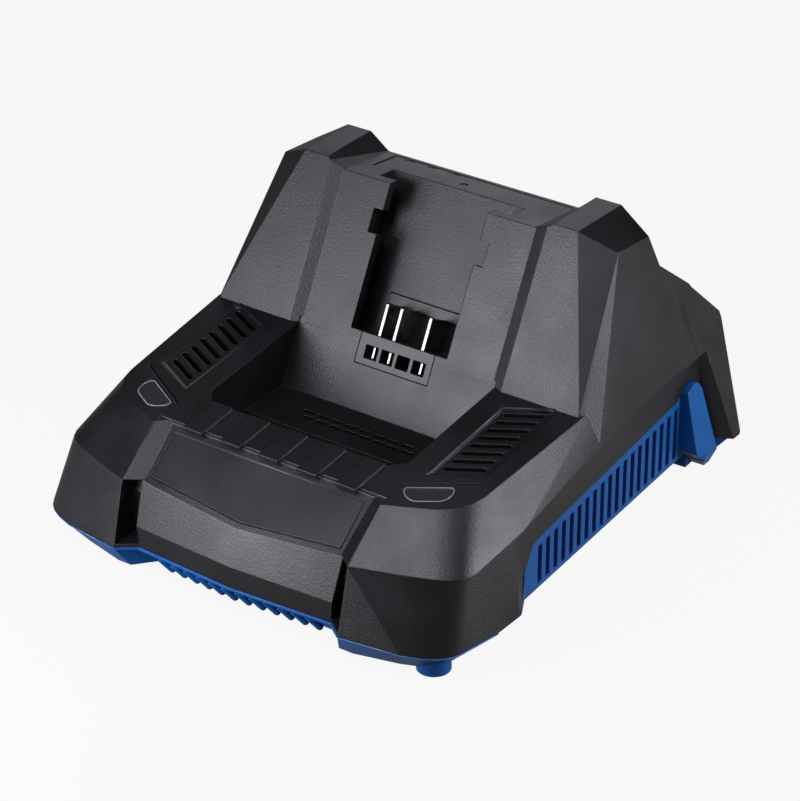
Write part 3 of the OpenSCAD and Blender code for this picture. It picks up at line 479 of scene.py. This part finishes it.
# %% Tube along a path, and the bars beside the grilles
def bead(path, up, radius, closed, around=8):
    """Points of a tube: path + radius * (cos a * side + sin a * up), side = tangent x up."""
    ahead = np.roll(path, -1, 0) - path
    behind = path - np.roll(path, 1, 0)
    if not closed:
        ahead[-1], behind[0] = behind[-1], ahead[0]
    tangent = ahead / np.linalg.norm(ahead, axis=1)[:, None]
    tangent += behind / np.linalg.norm(behind, axis=1)[:, None]
    side = np.cross(tangent, up)
    side /= np.linalg.norm(side, axis=1)[:, None]
    angle = np.linspace(0, 2 * np.pi, around, endpoint=False)[None, :, None]
    circle = np.cos(angle) * side[:, None] + np.sin(angle) * np.asarray(up)[None, None]
    return path[:, None] + radius * circle


DECK_UP = (0, 0, 1)
BAR_RADIUS, BAR_SUNK = 0.98, -0.42
bar_line = [[62.0, -60.5], [61.8, -30], [61.8, -7.8], [63, -6.6], [72, -2.2], [82.0, 2.0]]
bar_body = np.column_stack([bar_line, np.full(len(bar_line), BAR_SUNK)])
bar = np.concatenate([[[62.0, -62.6, -0.9]], bar_body])
for side, name in SIDES:
    tube = on_deck(bead(bar * [side, 1, 1], DECK_UP, BAR_RADIUS, False, around=12))
    grid_piece("grille_bar_" + name, tube, plate_abs, False, True)
print("grille bars: 2, standing out by mm:", round(BAR_RADIUS + BAR_SUNK, 2))

# %% [markdown]
# ## Lamp windows
# A D-shaped window closes each lamp opening flush with the deck, and a thin rim runs
# around it. The face is a set of rings, each a smaller copy of the outline, a little
# higher towards the middle. A flat face would mirror the room all at once, and a faint
# crown makes the reflection drift over the window.

# %% Lamp windows and their rims
WINDOW_TURN_DEG, WINDOW_CENTRE = 29.8, (68.8, -70.4)
RIM_RADIUS, RIM_HEIGHT = 0.27, 0.06
WINDOW_RINGS = ((1.0, -0.12), (1.0, 0.1), (0.9, 0.16), (0.45, 0.24), (0.02, 0.26))
half = np.array(
    [[9.3, 0.9], [10.0, -0.4], [10.1, -1.8], [9.6, -3.8], [8.6, -5.6], [7.2, -7.2], [5.6, -8.1], [4.4, -8.4]]
)
window = np.concatenate([half, half[::-1] * [-1, 1]])
turn = math.radians(WINDOW_TURN_DEG)
spin = np.array([[math.cos(turn), -math.sin(turn)], [math.sin(turn), math.cos(turn)]])
for side, name in SIDES:
    outline = (window @ spin.T + WINDOW_CENTRE) * [side, 1]
    count, centre = len(outline), outline.mean(0)
    rim_path = np.column_stack([outline, np.full(count, RIM_HEIGHT)])
    rim = on_deck(bead(rim_path, DECK_UP, RIM_RADIUS, True))
    grid_piece("lamp_rim_" + name, rim, rim_painted_highlight, True, True)
    rings = [np.column_stack([centre + (outline - centre) * k, np.full(count, z)]) for k, z in WINDOW_RINGS]
    grid_piece("lamp_window_" + name, on_deck(np.stack(rings, 0)), lens_smoky, False, True)
print("lamp windows: 2")

# %% [markdown]
# ## Raised line above the chin plate and the edge of the tray
# A rounded line marks the rear edge of the plate. Under the front corners of the shell the tray ends in a
# thin rounded edge that shows as a light line. Both are drawn with the tube of the grille bars, because a
# real bead lights up from every side, while a light line painted into a material would only be right in one
# view. Both beads are also given a paler plastic than the faces beside them, which is a painted highlight.

# %% Raised line and tray edge
LINE_HALF, LINE_Y, LINE_RADIUS = 48.4, -3.3, 0.42
LINE_HEIGHT = 0.05
EDGE_Z, EDGE_RADIUS = 13.55, 0.38
EDGE_SHIFT = np.array([-0.1, 0.4])
TRAY_FRONT = -118.2
line = on_chin([[-LINE_HALF, LINE_Y, LINE_HEIGHT], [LINE_HALF, LINE_Y, LINE_HEIGHT]])
chin_up = (on_chin([[0, 0, 1]])[0] - on_chin([[0, 0, 0]])[0]) / MM
tube = bead(line, chin_up, LINE_RADIUS * MM, False)
grid_piece("chin_line", tube, painted_highlight_abs, False, True)

corner = np.array(
    [[57.6, 0], [85.4, 3.7], [93.2, 6.5], [98, 9.2], [101.4, 12.2], [103.6, 15.4], [104.9, 18.8], [108.6, 39]]
)
edge = np.column_stack([corner + [0, TRAY_FRONT] + EDGE_SHIFT, np.full(len(corner), EDGE_Z)])
for side, name in SIDES:
    tube = bead(edge * [side, 1, 1] * MM, DECK_UP, EDGE_RADIUS * MM, False)
    grid_piece("tray_edge_" + name, tube, painted_highlight_blue, False, True)
print("thin lines: 3")

# %% [markdown]
# ## Camera
# The camera stands where the photograph was taken: 35 degrees to the right of the front,
# 29.6 degrees above the table, far enough away that the object looks almost flat. The
# long lens keeps the edges that run away from the camera nearly parallel, as in the photo.

# %% Camera
camera_data = bpy.data.cameras.new("camera")
camera = bpy.data.objects.new("camera", camera_data)
bpy.context.scene.collection.objects.link(camera)
bpy.context.scene.camera = camera
camera_data.sensor_width = 36
camera_data.lens = 139.0428
camera.location = (0.66633, -0.94390, 0.70581)
camera.rotation_euler = (math.radians(90 - 29.63), 0, math.radians(35.0))
camera_data.clip_start = 0.05
camera_data.clip_end = 50
print("lens in mm:", round(camera_data.lens, 2))

# %% [markdown]
# ## Floor and room
# The floor and the room are pale for the camera, and for what glass shows, but they send
# little light back, so the dark shell keeps its contrast. A Light Path node tells the kinds
# of ray apart. The floor mixes a little paint into its glow, so it still takes a faint
# shadow, and in soft reflections it counts for about a quarter.

# %% Floor and room
BACKDROP = linear("#f8f8f8")
FLOOR_HALF, FLOOR_POINTS = 6.0, 9
FLOOR_SEEN, FLOOR_MIRRORED = 0.95, 0.27
ROOM_SEEN, ROOM_MIRRORED, ROOM_DIM = 1.0, 0.01, 0.03


def pale_floor():
    """A wide flat sheet on a grid of points, z = 0 everywhere."""
    ticks = np.linspace(-FLOOR_HALF, FLOOR_HALF, FLOOR_POINTS)
    xs, ys = np.meshgrid(ticks, ticks)
    points = np.stack([xs.ravel(), ys.ravel(), np.zeros(xs.size)], 1)
    cell = np.arange(FLOOR_POINTS - 1)
    first = (cell[:, None] * FLOOR_POINTS + cell[None, :]).ravel()
    faces = np.stack([first, first + 1, first + FLOOR_POINTS + 1, first + FLOOR_POINTS], 1)
    mesh = bpy.data.meshes.new("floor")
    mesh.from_pydata(points.tolist(), [], faces.tolist())
    floor = bpy.data.objects.new("floor", mesh)
    bpy.context.scene.collection.objects.link(floor)
    return floor


def share_of_rays(tree, camera, glossy):
    """camera for rays that come from the camera or through glass, glossy for mirrored ones."""
    path = add_node(tree, "ShaderNodeLightPath")
    straight = add_node(
        tree,
        "ShaderNodeMath",
        {"operation": "MAXIMUM"},
        {0: path.outputs["Is Camera Ray"], 1: path.outputs["Is Transmission Ray"]},
    )
    seen = add_node(tree, "ShaderNodeMath", {"operation": "MULTIPLY"}, {0: straight.outputs[0], 1: camera})
    mirrored = add_node(
        tree,
        "ShaderNodeMath",
        {"operation": "MULTIPLY"},
        {0: path.outputs["Is Glossy Ray"], 1: glossy},
    )
    either = {0: seen.outputs[0], 1: mirrored.outputs[0]}
    return add_node(tree, "ShaderNodeMath", {"operation": "MAXIMUM"}, either).outputs[0]


floor = pale_floor()
floor_paint, tree, place, output = new_material("pale_floor_paint")
seen_path = add_node(tree, "ShaderNodeLightPath")
paint_tone = add_node(
    tree,
    "ShaderNodeMix",
    {"data_type": "RGBA"},
    {"Factor": seen_path.outputs["Is Camera Ray"], "A": linear("#484848"), "B": linear("#e0e0e0")},
)
paint = add_node(tree, "ShaderNodeBsdfDiffuse", links={"Color": paint_tone.outputs[2]})
glow = add_node(tree, "ShaderNodeEmission", links={"Color": linear("#fafafa"), "Strength": 1.0})
share = share_of_rays(tree, FLOOR_SEEN, FLOOR_MIRRORED)
blend = add_node(tree, "ShaderNodeMixShader", links={0: share, 1: paint.outputs[0], 2: glow.outputs[0]})
tree.links.new(blend.outputs[0], output.inputs["Surface"])
floor.data.materials.append(floor_paint)

world = bpy.data.worlds.new("studio")
bpy.context.scene.world = world
world.use_nodes = True
tree = world.node_tree
tree.nodes.clear()
share = share_of_rays(tree, ROOM_SEEN, ROOM_MIRRORED)
dim = add_node(tree, "ShaderNodeBackground", links={"Color": linear("#ffffff"), "Strength": ROOM_DIM})
pale = add_node(tree, "ShaderNodeBackground", links={"Color": BACKDROP, "Strength": 1.0})
blend = add_node(tree, "ShaderNodeMixShader", links={0: share, 1: dim.outputs[0], 2: pale.outputs[0]})
output = add_node(tree, "ShaderNodeOutputWorld")
tree.links.new(blend.outputs[0], output.inputs["Surface"])
print("backdrop:", [round(v, 3) for v in BACKDROP[:3]])

# %% [markdown]
# ## Lamps
# Black plastic shows almost only what it mirrors, softly. So the lamps are large cards with
# dark between them, placed where each facet of the shell looks: one low on the left front
# with a narrow strip beside it, one above the front, one tall card on the right with a
# higher and a rear one to fill it out, one low behind and a dim one on top. A card's
# brightness in a reflection doesn't depend on its size, so each is given as a radiance.

# %% Lamp cards
LAMP_COLOUR = "#f6f4ff"
AIM_HEIGHT = 0.06


def lamp(name, azimuth, elevation, distance, size, radiance):
    """
    An area lamp at azimuth and elevation in degrees, seen from the object, and aimed at it.

    Azimuth 0 is the front, and 90 is the right. Its power is radiance times area times pi.
    """
    data = bpy.data.lights.new(name, "AREA")
    data.shape = "RECTANGLE"
    data.size, data.size_y = size
    data.energy = radiance * size[0] * size[1] * math.pi
    data.color = linear(LAMP_COLOUR)[:3]
    obj = bpy.data.objects.new(name, data)
    bpy.context.scene.collection.objects.link(obj)
    a, e = math.radians(azimuth), math.radians(elevation)
    away = np.array([math.sin(a) * math.cos(e), -math.cos(a) * math.cos(e), math.sin(e)])
    obj.location = away * distance + np.array([0, 0, AIM_HEIGHT])
    obj.rotation_euler = (math.radians(90) - e, 0, a)
    obj.visible_camera = False


lamp("front_left_card", -36, 12, 0.67, (0.42, 0.2), 5.7)
lamp("front_top_card", 5, 59, 0.68, (0.31, 0.21), 8.86)
lamp("right_card", 111, 16, 0.85, (0.3, 0.7), 8.83)
lamp("back_card", -155, 23, 1.32, (0.6, 0.55), 1.3)
lamp("front_strip", -21, 15, 0.4, (0.12, 0.34), 8.0)
lamp("right_upper_card", 51, 41, 1.13, (0.18, 0.42), 5.53)
lamp("right_rear_card", 114, 23, 1.11, (0.68, 0.28), 0.94)
lamp("left_upper_card", -105, 81, 0.58, (0.73, 0.28), 0.31)

# %% [markdown]
# ## Hand over
# The view transform is Standard, so a colour renders about as it is written.

bpy.context.scene.view_settings.view_transform = "Standard"
